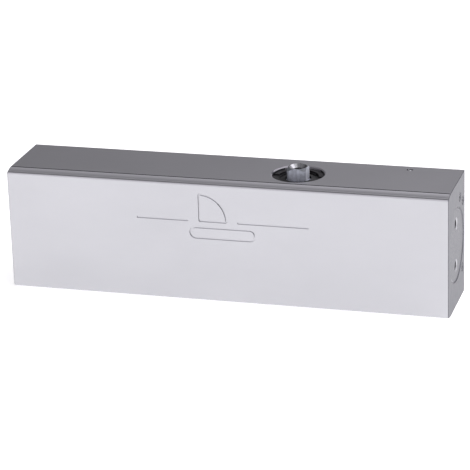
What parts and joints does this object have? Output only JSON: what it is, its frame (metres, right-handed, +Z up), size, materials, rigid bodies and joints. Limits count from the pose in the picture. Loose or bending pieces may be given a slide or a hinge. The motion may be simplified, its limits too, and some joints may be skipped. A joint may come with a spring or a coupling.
{
  "type": "door closer",
  "caption": "Rack-and-pinion hydraulic door closer body: box-shaped aluminium housing with a square spindle end on top, a screw plug and speed valves in one end face.",
  "frame": {"origin": "centre of the flat mounting face at the back of the housing", "axes": "+X along the housing to the valve end, +Y out of the mounting face towards the door, +Z up along the spindle"},
  "size_m": [0.212, 0.0395, 0.0637],
  "materials": {
    "anodised_aluminium": "satin silver anodised extrusion with machined end faces",
    "machined_aluminium": "turned",
    "spindle_steel": "machined and satin zinc plated",
    "black_oxide_steel": "black oxide, satin",
    "bearing_steel": "ground and hardened",
    "valve_steel": "zinc plated",
    "spring_steel": "oil tempered, dark",
    "cast_iron": "ground outside, machined teeth",
    "rubber": "matt"
  },
  "bodies": {
    "housing": {"body_housing": "anodised_aluminium", "valve_end_plug": "machined_aluminium", "spring_end_plug": "machined_aluminium", "valve_end_o_ring": "rubber", "spring_end_o_ring": "rubber", "upper_bearing_retainer": "black_oxide_steel", "upper_retainer_o_ring": "rubber", "spindle_seal": "rubber", "seal_retaining_ring": "black_oxide_steel", "lower_bearing_cap": "black_oxide_steel", "lower_cap_o_ring": "rubber", "upper_bearing_cup": "bearing_steel", "upper_thrust_washer": "bearing_steel", "lower_bearing_cup": "bearing_steel", "lower_thrust_washer": "bearing_steel", "valve_o_rings": "rubber", "valve_retaining_rings": "spring_steel", "channel_plug_balls": "bearing_steel"},
    "spindle": {"spindle": "spindle_steel"},
    "upper_rollers": {"upper_bearing_rollers": "bearing_steel"},
    "lower_rollers": {"lower_bearing_rollers": "bearing_steel"},
    "piston": {"piston": "cast_iron", "valve_side_check_seat": "bearing_steel", "valve_side_check_pin": "bearing_steel", "spring_side_check_seat": "bearing_steel", "spring_side_check_pin": "bearing_steel", "outer_spring": "spring_steel", "inner_spring": "spring_steel"},
    "valve_side_ball": {"valve_side_check_ball": "bearing_steel"},
    "spring_side_ball": {"spring_side_check_ball": "bearing_steel"},
    "closing_speed_screw": {"closing_speed_valve": "valve_steel"},
    "latching_speed_screw": {"latching_speed_valve": "valve_steel"},
    "backcheck_screw": {"backcheck_valve": "valve_steel"}
  },
  "joints": [
    {"name": "spindle_turn", "type": "hinge", "parent": "housing", "child": "spindle", "pos_m": [0.0313, -0.01975, 0], "axis": [0, 0, 1], "range_deg": [0, 180]},
    {"name": "piston_slide", "type": "slide", "parent": "housing", "child": "piston", "axis": [-1, 0, 0], "range_m": [0, 0.0259], "stiffness_N_per_m": 40000, "deforming": ["outer_spring", "inner_spring"]},
    {"name": "upper_rollers_roll", "type": "hinge", "parent": "housing", "child": "upper_rollers", "pos_m": [0.0313, -0.01975, 0], "axis": [0, 0, 1], "range_deg": [0, 76]},
    {"name": "lower_rollers_roll", "type": "hinge", "parent": "housing", "child": "lower_rollers", "pos_m": [0.0313, -0.01975, 0], "axis": [0, 0, 1], "range_deg": [0, 76]},
    {"name": "valve_side_ball_lift", "type": "slide", "parent": "piston", "child": "valve_side_ball", "axis": [1, 0, 0], "range_m": [0, 0.0008]},
    {"name": "spring_side_ball_lift", "type": "slide", "parent": "piston", "child": "spring_side_ball", "axis": [-1, 0, 0], "range_m": [0, 0.0008]},
    {"name": "closing_speed_adjust", "type": "hinge", "parent": "housing", "child": "closing_speed_screw", "pos_m": [0.09, -0.0118, 0.0207], "axis": [1, 0, 0], "range_deg": [-180, 540]},
    {"name": "latching_speed_adjust", "type": "hinge", "parent": "housing", "child": "latching_speed_screw", "pos_m": [0.09, -0.0046, 0.0167], "axis": [1, 0, 0], "range_deg": [-180, 540]},
    {"name": "backcheck_adjust", "type": "hinge", "parent": "housing", "child": "backcheck_screw", "pos_m": [0.09, -0.0051, -0.0161], "axis": [1, 0, 0], "range_deg": [-180, 540]}
  ],
  "couplings": [
    {"joint": "spindle_turn", "follows": "piston_slide", "rad_per_m": 121.21},
    {"joint": "upper_rollers_roll", "follows": "piston_slide", "rad_per_m": 50.897},
    {"joint": "lower_rollers_roll", "follows": "piston_slide", "rad_per_m": 50.897}
  ]
}
